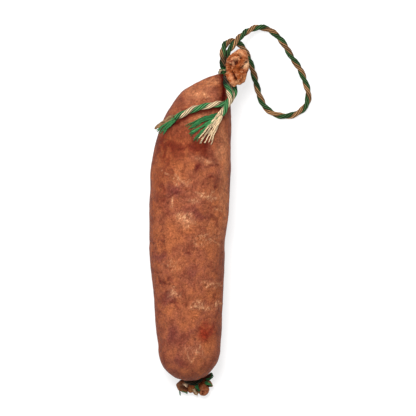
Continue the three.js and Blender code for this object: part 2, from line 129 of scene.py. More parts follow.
TUFT = {
    "centre": (-4.0, -106.0, 6.6), "reach": 18, "blend": 0.8, "core": (0.3, 0.8, 0.2, 6.4, 3.6, 3.4),
    "folds": [
        [(0.9, 3.6, 1.9, 3.2), (0.9, 0.6, 0.4, 3.8)],
        [(-3.5, 1.4, 0.6, 2.2), (-7.2, 1.4, 0.2, 2.0), (-9.6, -0.4, -0.6, 1.7), (-8.6, -2.4, -1.4, 1.7),
         (-6.4, -3.6, -2.2, 1.5), (-4.8, -4.2, -2.6, 1.2)],
        [(-2.2, -1.2, 0.6, 1.8), (-1.8, -3.6, -1.0, 1.8)],
        [(0.4, -1.6, 0.6, 1.7), (0.6, -3.8, -1.2, 1.6), (1.8, -5.4, -2.4, 1.5)],
        [(6.2, -1.4, 0.4, 2.8), (6.8, -3.2, -0.6, 3.5), (6.4, -4.2, -1.2, 3.2)],
        [(6.8, 2.2, 1.0, 1.6), (10.2, 1.6, 0.2, 1.3), (11.9, -0.8, -0.6, 0.8)],
        [(6.2, 4.2, 2.0, 1.3), (9.4, 4.6, 1.2, 1.3), (11.4, 6.8, 0.4, 1.1)],
        [(-6.2, 0.9, 2.2, 0.8), (-4.2, -1.0, 2.0, 0.8)],
    ],
    "cuts": [
        [(6.4, -4.8, 2.2, 1.0), (5.8, -6.4, 1.0, 0.6)],
        [(6.6, -3.4, 3.2, 0.5), (7.0, -1.4, 3.2, 0.4)], [(5.4, -4.2, 2.8, 0.5), (3.8, -3.6, 2.0, 0.4)],
        [(7.8, -4.6, 2.4, 0.5), (9.6, -4.4, 1.4, 0.4)],
        [(-3.6, -0.6, 3.4, 0.9), (-3.4, -3.4, 1.6, 0.8)],
        [(-8.2, -0.6, 2.6, 0.8), (-6.4, -2.2, 1.4, 0.7)],
    ],
}

# Twine routes, from the tie outwards
LOOP_ROUTE = [
    (15.8, 102.1, 24.5), (16.8, 105.8, 23.8), (18.2, 109.8, 23.2), (21.0, 113.8, 23.2), (23.4, 117.2, 22.2),
    (26.8, 120.8, 18.6), (31.9, 124.6, 12.6), (38.7, 126.9, 7.2), (45.2, 125.4, 3.9), (50.8, 121.2, 2.5),
    (55.6, 115.2, 2.1), (60.0, 107.6, 2.1), (65.2, 100.1, 2.1), (68.6, 92.0, 2.1), (70.9, 84.0, 2.1),
    (69.8, 76.6, 2.1), (64.6, 71.4, 2.1), (57.0, 69.0, 2.1), (48.8, 70.4, 2.1), (42.8, 75.0, 2.2),
    (39.6, 81.0, 3.0), (37.4, 88.4, 4.6), (35.4, 96.2, 6.8), (33.0, 104.0, 9.4), (30.2, 110.4, 11.8),
    (26.8, 115.2, 14.0), (22.3, 117.6, 17.0), (18.1, 116.8, 20.8), (15.7, 113.3, 24.6), (15.0, 108.9, 27.2),
    (14.8, 104.8, 28.4), (15.4, 100.8, 29.2),
]
LONG_TAIL_ROUTE = [
    (21.4, 93.4, 28.7), (22.4, 89.4, 27.6), (22.7, 85.6, 27.2), (21.9, 81.9, 28.3), (19.7, 78.5, 31.7),
    (16.1, 76.8, 36.4), (11.4, 76.4, 39.8), (6.4, 75.6, 42.1), (1.0, 74.5, 43.5), (-4.4, 72.9, 44.0),
    (-9.8, 70.5, 43.5), (-15.0, 67.9, 42.0), (-20.0, 65.0, 39.4), (-24.2, 62.2, 36.4), (-27.0, 60.3, 34.2),
]
SHORT_TAIL_ROUTE = [
    (17.0, 94.0, 30.8), (17.2, 90.9, 32.6), (18.2, 87.6, 34.2), (19.3, 84.6, 35.4), (19.7, 81.6, 37.0),
    (19.0, 78.6, 39.3), (17.9, 76.0, 40.9), (16.5, 73.4, 41.4), (14.9, 70.8, 41.7), (13.1, 68.2, 42.4),
    (11.4, 65.5, 43.7), (9.6, 62.3, 45.0), (7.9, 59.0, 46.4), (6.2, 55.6, 47.5), (4.4, 52.0, 48.2),
]
LOOP_LENGTH = 214.3

# Scraps of yarn in the far end's gather: green or natural, width and route
YARNS = {
    "end_yarn_green_curl": (True, 1.1, [
        (-12.7, -112.3, 0.7), (-13.0, -110.0, 1.6), (-12.6, -108.3, 3.4), (-11.4, -107.9, 5.0)]),
    "end_yarn_green_left": (True, 1.4, [(-11.6, -109.5, 4.6), (-10.0, -110.6, 4.4), (-8.2, -111.5, 3.8)]),
    "end_yarn_green_leaf": (True, 1.8, [(-2.3, -106.7, 11.2), (-1.4, -108.7, 10.0), (-0.4, -110.7, 8.2)]),
    "end_yarn_green_right": (True, 1.5, [(3.6, -104.4, 11.0), (6.0, -105.3, 9.6), (8.0, -106.4, 7.6)]),
    "end_yarn_green_high": (True, 1.3, [
        (4.4, -102.4, 10.4), (6.6, -101.8, 9.6), (8.1, -100.6, 9.2), (8.2, -99.0, 9.6), (7.4, -97.7, 10.2)]),
    "end_yarn_natural_left": (False, 1.2, [
        (-3.6, -109.0, 8.8), (-2.6, -110.9, 7.4), (-1.6, -112.5, 5.4)]),
}


# Colours, named by their sRGB values
def srgb(red, green, blue):
    channels = np.array([red, green, blue]) / 255
    return np.where(channels <= 0.04045, channels / 12.92, ((channels + 0.055) / 1.055) ** 2.4)


SKIN_TONES = {
    "brown": srgb(144, 80, 54),
    "amber": srgb(170, 96, 57),
    "tan": srgb(194, 126, 86),
    "russet": srgb(110, 42, 22),
    "mauve": srgb(118, 60, 52),
    "maroon": srgb(86, 22, 20),
    # shade is the colour of painted shade and shadow below the twine
    "shade": srgb(72, 8, 3),
    "crimson": srgb(132, 28, 10),
    "pale": srgb(234, 176, 130),
    # slit is the colour of painted shade in the folds' slits and of painted shadow next to the casing
    "slit": srgb(56, 14, 5),
    "fold": srgb(134, 66, 30),
}
GREEN = srgb(70, 146, 86)
NATURAL = srgb(242, 212, 170)
# Copies of the twine's two colours in shade: painted shade for the loop, the neck tie and its dark yarns
GREEN_SHADED = srgb(38, 84, 38)
NATURAL_SHADED = srgb(166, 118, 76)


# Camera, on a long lens straight above the middle of the picture
PICTURE_WIDTH = 270.4
PICTURE_CENTRE = np.array([5.525, 9.1, 24.0])
LENS = 900.0
SENSOR = 36.0


def make_camera():
    data = bpy.data.cameras.new("camera")
    data.lens = LENS
    data.sensor_width = SENSOR
    data.clip_end = 50
    camera = bpy.data.objects.new("camera", data)
    bpy.context.scene.collection.objects.link(camera)
    distance = LENS / SENSOR * PICTURE_WIDTH
    camera.location = Vector((PICTURE_CENTRE - MIDDLE + [0, 0, distance]) * MM)
    bpy.context.scene.camera = camera


# Meshes
class Surface:
    """Points, faces and per-point values that become one mesh."""

    def __init__(self):
        self.points, self.faces, self.colours, self.fibres = [], [], [], []
        self.count = 0

    def add(self, points, faces, colours, fibres):
        self.points.append(points)
        self.faces += [tuple(i + self.count for i in face) for face in faces]
        self.colours.append(np.broadcast_to(colours, (len(points), 3)))
        self.fibres.append(fibres)
        self.count += len(points)


def mesh_object(name, surface, material):
    mesh = bpy.data.meshes.new(name)
    points = (np.concatenate(surface.points) - MIDDLE) * MM
    mesh.from_pydata(points.tolist(), [], surface.faces)
    set_values(mesh, "tone", "FLOAT_COLOR", np.concatenate(surface.colours))
    set_values(mesh, "fibre", "FLOAT_VECTOR", np.concatenate(surface.fibres))
    mesh.materials.append(material)
    mesh.shade_smooth()
    piece = bpy.data.objects.new(name, mesh)
    bpy.context.scene.collection.objects.link(piece)
    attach(piece, "root")
    return piece


def set_values(mesh, name, kind, values):
    attribute = mesh.attributes.new(name, kind, "POINT")
    if kind == "FLOAT_COLOR":
        values = np.column_stack([values, np.ones(len(values))])
        attribute.data.foreach_set("color", values.astype(np.float32).ravel())
    else:
        attribute.data.foreach_set("vector", values.astype(np.float32).ravel())


def grid_faces(rings, sides, closed=False):
    """Quads between rings of points, with a fan of triangles on each end unless it closes on itself."""
    faces = []
    for k in range(rings if closed else rings - 1):
        a, b = k * sides, (k + 1) % rings * sides
        for i in range(sides):
            j = (i + 1) % sides
            faces.append((a + i, a + j, b + j, b + i))
    if not closed:
        last, hub = (rings - 1) * sides, rings * sides
        for i in range(sides):
            j = (i + 1) % sides
            faces.append((hub, j, i))
            faces.append((hub + 1, last + i, last + j))
    return faces


def with_hubs(rings):
    points = rings.reshape(-1, 3)
    return np.concatenate([points, [rings[0].mean(axis=0)], [rings[-1].mean(axis=0)]])


# Routes
def smooth_route(route, step):
    """Centripetal curve through the points of a route: points about a step apart, and how far along
    each of them is."""
    p = np.array(route, dtype=float)
    p = np.concatenate([[2 * p[0] - p[1]], p, [2 * p[-1] - p[-2]]])
    gaps = np.sqrt(np.linalg.norm(np.diff(p, axis=0), axis=1))[:, None]
    t = np.linspace(0, 1, 40, endpoint=False)[:, None]
    pieces = []
    for i in range(1, len(p) - 2):
        d0, d1, d2 = gaps[i - 1], gaps[i], gaps[i + 1]
        pull = d1 * ((p[i] - p[i - 1]) / d0 - (p[i + 1] - p[i - 1]) / (d0 + d1) + (p[i + 1] - p[i]) / d1)
        push = d1 * ((p[i + 1] - p[i]) / d1 - (p[i + 2] - p[i]) / (d1 + d2) + (p[i + 2] - p[i + 1]) / d2)
        square, cube = t * t, t * t * t
        pieces.append((2 * cube - 3 * square + 1) * p[i] + (cube - 2 * square + t) * pull
                      + (3 * square - 2 * cube) * p[i + 1] + (cube - square) * push)
    fine = np.concatenate(pieces + [p[-2:-1]])
    along = np.concatenate([[0], np.cumsum(np.linalg.norm(np.diff(fine, axis=0), axis=1))])
    places = np.linspace(0, along[-1], max(4, round(along[-1] / step) + 1))
    return np.column_stack([np.interp(places, along, fine[:, c]) for c in range(3)]), places


def side_vectors(centres):
    """Two directions across a route at each point, turned as little as possible from point to point."""
    ahead = np.gradient(centres, axis=0)
    ahead /= np.linalg.norm(ahead, axis=1)[:, None]
    start = np.cross(ahead[0], (0, 0, 1.0))
    if np.linalg.norm(start) < 0.1:
        start = np.cross(ahead[0], (0, 1.0, 0))
    across = [start / np.linalg.norm(start)]
    for direction in ahead[1:]:
        turned = across[-1] - direction * across[-1].dot(direction)
        across.append(turned / np.linalg.norm(turned))
    across = np.array(across)
    return across, np.cross(ahead, across)


# Twine: two plies that wind round each other to the left, each of fine yarns that run along the twine
TWINE_STEP = 0.36
LOOP_PITCH = 16.4
LONG_TAIL_PITCH = 17.0
SHORT_TAIL_PITCH = 14.0
PLY_OFFSET = 0.62
PLY_RADIUS = 1.46
PLY_COLUMNS = 34
PLY_YARNS = 6
YARN_DEPTH = 0.36
YARN_DRIFT = 0.3
YARN_SHADES = rng.uniform(0.6, 1.25, 97)
# Painted highlight added to the colour on the crests of the yarns
YARN_CREST_HIGHLIGHT = np.array([0.05, 0.05, 0.03])
# Painted shade: the twine's colour darkened in the grooves between its yarns and along each ply's edge next
# to the other ply
GROOVE_SHADE = 0.03
PLY_EDGE_SHADE = 0.1
# Painted shade on the twine near its tie, under the knob: full up to the first length, gone after the fade
SHADED_LENGTH = 9.0
SHADED_FADE = 4.0


def twine_section(along, scale, crest):
    """Distance from a ply's own middle to its surface, in yarns, and how far down between yarns it is."""
    ridge = np.abs(np.cos(PLY_YARNS / 2 * crest))
    wobble = 1 + 0.03 * np.sin(along / 3.1)[:, None]
    return PLY_RADIUS * scale * wobble + YARN_DEPTH * scale * (ridge - 0.8), ridge


def add_twine(surface, centres, along, diameter, tones, green_at, pitch, closed=False, tie_shade=0.0,
              far_from_tie=99):
    """green_at is the place where the green ply faces up, or outwards where the twine closes on
    itself. Near its tie the twine is darker by painted shade, and far_from_tie is 0 where it ends there too."""
    scale = diameter / TWINE
    reach = math.pi - math.acos(PLY_OFFSET / PLY_RADIUS)
    if closed:
        ring = centres - centres.mean(axis=0)
        axis = np.cross(ring[0], ring[len(ring) // 4])
        across = ring / np.linalg.norm(ring, axis=1)[:, None]
        upward = np.broadcast_to(-axis / np.linalg.norm(axis), ring.shape)
    else:
        across, upward = side_vectors(centres)
    known = np.argmin(np.linalg.norm((centres - green_at)[:, :2], axis=1))
    facing = 0.0 if closed else math.atan2(upward[known, 2], across[known, 2])
    turn = facing - 2 * math.pi * (along - along[known]) / pitch
    psi = np.linspace(-reach, reach, PLY_COLUMNS, endpoint=False)
    crest = psi[None, :] - YARN_DRIFT * 2 * math.pi * along[:, None] / pitch
    radius, ridge = twine_section(along, scale, crest)
    yarn = np.floor(PLY_YARNS * crest / (2 * math.pi)).astype(int)
    # Painted shade in the grooves between yarns and along the ply's edge next to the other ply
    groove = GROOVE_SHADE + (1 - GROOVE_SHADE) * ridge ** 2
    groove = groove * np.where(np.arange(PLY_COLUMNS) == 0, PLY_EDGE_SHADE, 1.0)
    # Painted shade near the tie
    from_tie = np.minimum(along, along[-1] - along + far_from_tie)
    groove = groove * (1 - tie_shade * np.clip((SHADED_LENGTH - from_tie) / SHADED_FADE, 0, 1))[:, None]
    rings, fibres, colours = [], [], []
    for ply in range(2):
        u = PLY_OFFSET * scale + radius * np.cos(psi)
        v = radius * np.sin(psi)
        angle = turn[:, None] + ply * math.pi
        a = u * np.cos(angle) - v * np.sin(angle)
        b = u * np.sin(angle) + v * np.cos(angle)
        rings.append(centres[:, None, :] + a[..., None] * across[:, None, :]
                     + b[..., None] * upward[:, None, :])
        fibres.append(np.stack([crest * radius, np.broadcast_to(along[:, None] * 0.2, crest.shape),
                                np.full(crest.shape, 9.0 * ply)], axis=-1))
        shade = groove * YARN_SHADES[(yarn + 31 * ply) % len(YARN_SHADES)]
        # The yarn's colour, with painted shade in its grooves and painted highlight on its crests
        colours.append(shade[..., None] * (tones[ply] + YARN_CREST_HIGHLIGHT * ridge[..., None] ** 4))
    rings, fibres, colours = (np.concatenate(parts, axis=1) for parts in (rings, fibres, colours))
    faces = grid_faces(len(centres), 2 * PLY_COLUMNS, closed)
    if closed:
        surface.add(rings.reshape(-1, 3), faces, colours.reshape(-1, 3), fibres.reshape(-1, 3))
    else:
        surface.add(with_hubs(rings), faces, with_hubs(colours), with_hubs(fibres))


def add_yarn(surface, route, width, tone, tip=0.5, lobes=3, pitch=3.4):
    """One loose yarn, a little lobed and twisted, thinner towards its far end."""
    centres, along = smooth_route(route, max(0.25, 0.3 * width))
    across, upward = side_vectors(centres)
    sides = 10
    angles = 2 * math.pi * np.arange(sides) / sides
    share = along / along[-1]
    slim = 1 - (1 - tip) * share ** 2
    lobed = 0.88 + 0.16 * np.cos(lobes * (angles[None, :] + 2 * math.pi * along[:, None] / pitch))
    radius = width / 2 * slim[:, None] * lobed
    rings = (centres[:, None, :] + (radius * np.cos(angles))[..., None] * across[:, None, :]
             + (radius * np.sin(angles))[..., None] * upward[:, None, :])
    # Painted shade: darker where the yarn dips between its lobes
    shade = (0.4 + 0.6 * (lobed - 0.72) / 0.32)[..., None] * tone
    fibres = np.stack([radius * angles, np.broadcast_to(along[:, None] * 0.12, radius.shape),
                       np.full(radius.shape, float(len(surface.points)))], axis=-1)
    surface.add(with_hubs(rings), grid_faces(len(centres), sides), with_hubs(shade), with_hubs(fibres))


STRAND_WAVE = 2.4
STRAND_WAVE_HEIGHT = 0.2


def add_frayed(surface, route, width, tone, strands, spread, strand=0.8, tip=0.6):
    """A clump of thin wavy strands that opens towards its far end, all but the first a little shortened."""
    route, along = smooth_route(route, STRAND_WAVE)
    share = (along / along[-1])[:, None]
    for index in range(strands):
        start = rng.normal(0, 0.26 * width, 3)
        end = rng.normal(0, spread, 3) * [1, 1, 0.3]
        waves = rng.normal(0, STRAND_WAVE_HEIGHT, route.shape) * [1, 1, 0.5]
        bent = route + start * (1 - share) + end * share ** 2 + waves
        if index > 0:
            bent = bent[:len(route) - rng.integers(0, 2)]
            bent[-1] += (route[-1] - route[-2]) * rng.uniform(-0.5, 0.3)
        add_yarn(surface, bent, strand * rng.uniform(0.75, 1.25), tone * rng.uniform(0.35, 1.15), tip)


def declare_cord(piece, solid):
    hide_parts(solid)


# The casing's outline and the folds of its ends
def table_curve(rows, shares):
    """Monotone curve through the rows of a table, with its knots spaced by the distance between rows."""
    knots = np.concatenate([[0], np.cumsum(np.hypot(*np.diff(rows[:, :2], axis=0).T))])
    rises = np.diff(rows, axis=0) / np.diff(knots)[:, None]
    slopes = np.zeros_like(rows)
    slopes[0, 0] = 1
    before, after = rises[:-1], rises[1:]
    steady = before * after > 0
    slopes[1:-1][steady] = 2 * (before * after)[steady] / (before + after)[steady]
    s = shares * knots[-1]
    i = np.clip(np.searchsorted(knots, s) - 1, 0, len(rows) - 2)
    span = (knots[i + 1] - knots[i])[:, None]
    t = (s - knots[i])[:, None] / span
    ease = t * t * (3 - 2 * t)
    return (rows[i] * (1 - ease) + rows[i + 1] * ease
            + span * (t * (1 - t) ** 2 * slopes[i] + t * t * (t - 1) * slopes[i + 1]))


OUTLINE = table_curve(STATIONS, np.linspace(0, 1, 600))


def skin_height(x, y):
    """Height of the casing's upper side above a point of the table."""
    left, right, low, high = (np.interp(y, OUTLINE[:, 0], OUTLINE[:, c]) for c in range(1, 5))
    across = (x - (left + right) / 2) / ((right - left) / 2)
    return (low + high) / 2 + (high - low) / 2 * np.sqrt(np.maximum(0, 1 - across ** 2))


def laid_on_skin(places, lifts):
    """Route over places seen from above, lifted off the skin by lifts at its start and its end."""
    faded = np.linspace(*lifts, len(places))
    return [(x, y, float(skin_height(x, y)) + lift) for (x, y), lift in zip(places, faded)]


def dents(angle, y):
    return (0.30 * np.sin(2 * angle + 0.045 * y + 0.6) + 0.22 * np.sin(3 * angle - 0.08 * y + 2.1)
            + 0.16 * np.sin(5 * angle + 0.13 * y) + 0.14 * np.sin(0.19 * y + 1.3))


def pleats(angle):
    return 0.6 * np.cos(9 * angle + 1.0) + 0.4 * np.cos(14 * angle + 2.3)


def skin_rings():
    angle = 2 * math.pi * np.arange(SIDES) / SIDES
    angle = angle + 0.3 * np.cos(angle)
    rows = table_curve(STATIONS, 1 - np.arange(BODY_RINGS + 1) / BODY_RINGS)
    y, left, right, low, high = (rows[:, c, None] for c in range(5))
    pleating = (NECK_PLEAT_DEPTH * np.exp((y - NECK_PLEAT_START) / NECK_PLEAT_FADE)
                * np.clip((NECK_PLEAT_START - y) / NECK_PLEAT_RAMP, 0, 1))
    denting = np.minimum(1, (right - left + high - low) / 4 / BODY_RADIUS) / BODY_RADIUS
    swell = 1 + pleating * pleats(angle) + denting * dents(angle, y)
    x = (left + right) / 2 + swell * (right - left) / 2 * np.cos(angle)
    z = (low + high) / 2 + swell * (high - low) / 2 * np.sin(angle)
    body = np.stack([x, np.broadcast_to(y, x.shape), z], axis=-1)
    return np.concatenate([body, cap_rings(angle)])


def end_half_sizes():
    y, left, right, low, high = STATIONS[0]
    centre = np.array([(left + right) / 2, y, (low + high) / 2])
    return centre, np.array([right - left, right - left, high - low]) / 2


def cap_rings(angle):
    centre, half = end_half_sizes()
    neck = END_NECK_RADIUS / half[0]
    dome_rings = CAP_RINGS - CAP_NECK_RINGS
    k = np.arange(1, CAP_RINGS + 1)[:, None]
    lean = np.minimum(1, k / dome_rings)
    ring = np.maximum(neck, np.cos(lean * math.pi / 2))
    stretch = np.maximum(0, k - dome_rings) / CAP_NECK_RINGS
    fillet = END_FILLET_DEPTH * np.exp(-(ring - neck) / END_FILLET_FADE)
    rise = np.sqrt(1 - ring * ring) + fillet + stretch * END_NECK_LENGTH / half[1]
    pleating = END_PLEAT_DEPTH * np.exp(-(ring - neck) / END_PLEAT_FADE) * (1 - 0.8 * stretch)
    out = ring * (1 + pleating * pleats(angle))
    swell = 1 + (1 - lean) * dents(angle, centre[1]) / BODY_RADIUS
    a, b = END_TILT_DOWN * lean, END_TILT_RIGHT * lean
    x = out * np.cos(angle) * swell
    y = -rise * np.cos(a) - out * np.sin(angle) * swell * np.sin(a)
    z = -rise * np.sin(a) + out * np.sin(angle) * swell * np.cos(a)
    leaned = [x * np.cos(b) - y * np.sin(b), x * np.sin(b) + y * np.cos(b), z]
    return centre + half * np.stack(leaned, axis=-1)


def end_tie_place():
    centre, half = end_half_sizes()
    a, b = END_TILT_DOWN, END_TILT_RIGHT
    direction = half * [math.cos(a) * math.sin(b), -math.cos(a) * math.cos(b), -math.sin(a)]
    unit = direction / np.linalg.norm(direction)
    return centre + direction + END_TIE_AT * unit, unit


def chain_distance(points, chain):
    nearest = np.full(len(points), np.inf)
    for start, end in zip(chain[:-1], chain[1:]):
        a, b = np.array(start), np.array(end)
        line = b[:3] - a[:3]
        t = np.clip((points - a[:3]) @ line / (line @ line), 0, 1)
        gap = np.linalg.norm(points - a[:3] - t[:, None] * line, axis=1)
        nearest = np.minimum(nearest, gap - (a[3] + (b[3] - a[3]) * t))
    return nearest


def smooth_min(a, b, k):
    h = np.maximum(0, k - np.abs(a - b)) / k
    return np.minimum(a, b) - h * h * k / 4


def lump_distance(points, lump):
    core = np.array(lump["core"])
    distance = (np.linalg.norm((points - core[:3]) / core[3:], axis=1) - 1) * core[3:].min()
    for chain in lump["folds"]:
        distance = smooth_min(distance, chain_distance(points, chain), lump["blend"])
    for chain in lump["cuts"]:
        distance = -smooth_min(-distance, chain_distance(points, chain), 0.6)
    return distance


def fractal(points, size, octaves=3):
    return np.array([noise.fractal(Vector(p), 1.0, 2.0, octaves) for p in points / size])


def lump_surface(lump):
    """Ball whose points are drawn in until they meet the folds, with fine creases on them."""
    ball = bmesh.new()
    bmesh.ops.create_icosphere(ball, subdivisions=6, radius=1)
    rays = np.array([v.co for v in ball.verts])
    faces = [tuple(v.index for v in face.verts) for face in ball.faces]
    ball.free()
    rays /= np.linalg.norm(rays, axis=1)[:, None]
    reach = np.full(len(rays), float(lump["reach"]))
    for _ in range(80):
        reach -= 0.7 * lump_distance(rays * reach[:, None], lump)
    reach += 0.24 * fractal(rays * reach[:, None], 1.8) + 0.14 * fractal(rays * reach[:, None] + 40, 0.8, 2)
    points = lump["centre"] + rays * reach[:, None]
    points[:, 2] = np.maximum(points[:, 2], 0.05)
    return points, faces


# Relief and colour of the skin
def ring_normals(rings):
    down = np.gradient(rings, axis=0)
    round_ = (np.roll(rings, -1, axis=1) - np.roll(rings, 1, axis=1)) / 2
    normals = np.cross(round_, down)
    return normals / np.maximum(1e-9, np.linalg.norm(normals, axis=-1))[..., None]


def creases(points, size):
    """Thin winding lines, 1 on the line and 0 away from it."""
    warped = points + 2.4 * np.column_stack([fractal(points + shift, 5.0, 3) for shift in (17, 31, 47)])
    return np.exp(-(fractal(warped, size, 3) / 0.09) ** 2)


def skin_relief(points):
    """Soft swellings, winding creases where the skin has dried most, and fine wrinkles.
    The whole numbers added to the points only shift each noise away from the others."""
    soft = 0.30 * fractal(points, 17.0) + 0.15 * fractal(points + 60, 6.0)
    dried = np.clip(0.55 + 1.2 * fractal(points + 400, 24.0), 0.1, 1)
    lines = 0.12 * creases(points, 9.0) + 0.06 * creases(points + 80, 5.0)
    fine = 0.03 * fractal(points + 120, 2.4, 3)
    return soft + fine - dried * lines + stroke_relief(points)


def stroke_relief(points):
    """Creases and ridges that show from above, each along its own line."""
    upper = np.clip((points[:, 2] - 18) / 6, 0, 1)
    relief = np.zeros(len(points))
    broken = broken_up(points)
    for line, width, height in STROKES:
        relief += height * stroke_weight(points, line, width) * upper * broken
    return relief


def broken_up(points):
    """Share from 0 to 1 that breaks a line into uneven dashes."""
    return np.clip(0.65 + 1.3 * fractal(points + 600, 2.6, 2), 0, 1)


def stroke_weight(points, line, width):
    """1 on a line seen from above, and 0 away from it, with the line bent a little by the skin."""
    nearest = np.full(len(points), np.inf)
    for start, end in zip(line[:-1], line[1:]):
        a, b = np.array(start), np.array(end)
        t = np.clip((points[:, :2] - a) @ (b - a) / ((b - a) @ (b - a)), 0, 1)
        nearest = np.minimum(nearest, np.linalg.norm(points[:, :2] - a - t[:, None] * (b - a), axis=1))
    return np.exp(-(nearest / width) ** 2)


def bare_object(name, points, faces):
    mesh = bpy.data.meshes.new(name)
    mesh.from_pydata(((points - MIDDLE) * MM).tolist(), [], faces)
    piece = bpy.data.objects.new(name, mesh)
    bpy.context.scene.collection.objects.link(piece)
    return piece


def combined(base, others, operation):
    for other in others:
        step = base.modifiers.new(operation, "BOOLEAN")
        step.operation = operation
        step.solver = "MANIFOLD"
        step.object = other
    result = bpy.data.meshes.new_from_object(base.evaluated_get(bpy.context.evaluated_depsgraph_get()))
    base.modifiers.clear()
    for other in others:
        bpy.data.objects.remove(other)
    base.data = result


NEAR_STEPS = 4
WIDE_STEPS = 40


def mesh_values(mesh):
    """Points and normals of a mesh, and how deep each point lies between its neighbours, near and wide."""
    points, normals = np.empty((2, len(mesh.vertices), 3), dtype=np.float32)
    mesh.vertices.foreach_get("co", points.ravel())
    mesh.vertex_normals.foreach_get("vector", normals.ravel())
    edges = np.empty(2 * len(mesh.edges), dtype=np.int32)
    mesh.edges.foreach_get("vertices", edges)
    a, b = edges.reshape(-1, 2).T
    points = points / MM + MIDDLE
    count = np.bincount(a, minlength=len(points)) + np.bincount(b, minlength=len(points))
    spread, depths = points, []
    for step in range(1, WIDE_STEPS + 1):
        total = [np.bincount(a, spread[b, c], len(points)) + np.bincount(b, spread[a, c], len(points))
                 for c in range(3)]
        spread = np.column_stack(total) / count[:, None]
        if step in (NEAR_STEPS, WIDE_STEPS):
            depths.append(((spread - points) * normals).sum(axis=1))
    return points, normals, *depths


# Creases and ridges of the skin seen from above: line, width and height
STROKES = [
    ([(16.8, 96), (17.2, 90), (17.4, 84), (17.2, 79)], 1.3, -0.9),
    ([(-22, 14.5), (-15, 19), (-7.5, 21.5)], 0.5, -0.35),
    ([(-16, 31), (-12, 27), (-7, 23)], 0.5, 0.22), ([(-14, 29.5), (-10, 25), (-9, 23.5)], 0.4, 0.2),
    ([(-7, 20), (-1, 19.2), (4, 18.5)], 0.4, 0.28), ([(0, 17.5), (4.5, 16.4), (7.2, 16.2)], 0.45, 0.3),
    ([(-18, 13.6), (-17, 11)], 0.4, 0.3), ([(-7, 13.5), (-3, 12.8)], 0.4, 0.28),
    ([(5, 6), (8, 4.4), (9, 1)], 0.5, -0.45), ([(10, 8.4), (14.5, 7.2)], 0.5, 0.25),
    ([(-11, 2.4), (-7, 0.6), (-4, -0.6)], 0.6, 0.3), ([(-3, -9), (1.5, -9.3)], 0.45, 0.25),
    ([(8, -12), (14.5, -15.5)], 0.5, 0.28), ([(-30, -32.5), (-24.6, -33)], 0.5, -0.5),
    ([(-27.5, -38), (-23, -39.6), (-19, -40.4)], 0.8, -0.4), ([(-22, -45), (-18.6, -45.4)], 0.4, -0.35),
    ([(-22.4, -51.6), (-17, -52), (-12, -52.8), (-8, -54)], 0.45, -0.4),
    ([(-17, -46), (-14.6, -47)], 0.6, 0.3), ([(-3, -54.5), (2.4, -55.6)], 0.7, 0.35),
    ([(10.6, -54), (14.6, -53)], 0.6, 0.32), ([(4.5, -42), (7.6, -40), (12, -40.2), (14, -41.6)], 0.45, 0.3),
    ([(3, 41.8), (7, 38.6)], 0.6, 0.3), ([(-25, 33), (-19.6, 31)], 0.4, 0.25),
    ([(-4.6, -90.8), (-2, -86), (0.6, -80)], 0.45, 0.2), ([(-5, -91), (-8, -86), (-10, -79)], 0.45, 0.2),
]

# Patches of the skin seen from above: x, y, half width, half length, turn in degrees, strength
PATCHES = {
    "amber": [
        (-11, 53, 8, 8, 10, 0.35), (-13, 34, 7, 8, 0, 0.6), (-9, -3, 7, 6, 0, 0.75),
        (-14.6, -28.6, 6, 6, 0, 0.6), (-2.3, -59, 4, 3.5, 30, 0.8), (-10.7, -69, 2.2, 6, 0, 0.5),
        # The amber patch at (3.6, 82) is a painted highlight on the shoulder
        (3.6, 82, 4, 3.5, 0, 0.6), (-22, -15, 5, 7, 0, 0.5), (8, -47, 6, 6, 0, 0.7),
        (-1.3, -12.4, 3.4, 3, 0, 0.6), (4.9, -82, 3, 3, 0, 0.7), (14, 6, 4, 5, 0, 0.4),
    ],
    "mauve": [
        (9, 84, 6, 6, 0, 0.5), (-8, -74, 7, 8, 0, 0.5), (13.5, 50, 4, 8, 0, 0.3), (-15, 21, 8, 5, 35, 0.8),
        (-3, 5, 7, 4, 0, 0.6), (-24, -23, 5.5, 4, 0, 0.8), (-5, -33, 4, 5, 0, 0.6),
        (-18, -73, 5.5, 7, 0, 0.8), (-14.5, -91, 4.5, 6, 0, 0.7), (-18.5, -49, 6, 4, 20, 0.7),
        (12, 30, 4, 6, 0, 0.5), (-21, 47, 5, 6, 0, 0.5),
    ],
    "maroon": [
        # The maroon patch at (-2, 49) is a painted shadow under the short tail's green fray, and the one at
        # (14.3, 92) is painted shade in the furrow beside the tails
        (-2, 49, 7, 4.5, 0, 0.8), (0.3, 34.5, 3.4, 3.2, 0, 0.85), (14.3, 92, 2.4, 7, -8, 0.9),
        (9.5, 37, 1.0, 1.0, 0, 0.8), (7.5, 27.3, 0.9, 1.2, 0, 0.8), (10, 21.5, 0.9, 1.0, 0, 0.8),
        (10.7, -7, 1.2, 1.0, 0, 0.7), (-23, -39, 5, 2, 10, 0.5), (-6.8, -20.8, 1.0, 1.0, 0, 0.7),
        (-25, 43.5, 1.2, 3, 10, 0.6),
    ],
    "tan": [
        # The tan patch at (-6, 86) is a painted highlight on the shoulder, and those at (16, 46) and (17, 8)
        # are painted light that brightens the right side
        (0, 84, 10, 6, 0, 0.45), (7.4, 91.6, 7, 3, 0, 0.8), (-6, 86, 5, 3, 30, 0.5), (16, 46, 5, 17, 0, 0.75),
        (17, 8, 4, 24, 0, 0.5), (-10, 0, 6, 4, 0, 0.35), (17, 20, 3, 12, 0, 0.3),
    ],
    "russet": [
        (-22, 48, 8, 14, 12, 0.9), (-12, 50, 10, 9, 0, 0.7), (-26, 20, 4, 16, 0, 0.5),
        # The russet patch at (-1, 49) is a painted shadow under the short tail's green fray
        (-1, 49, 9, 6, 0, 0.9), (-3, 62, 14, 5, 15, 0.5),
    ],
    "crimson": [(5.2, -72, 4.6, 6, 0, 0.75)],
}

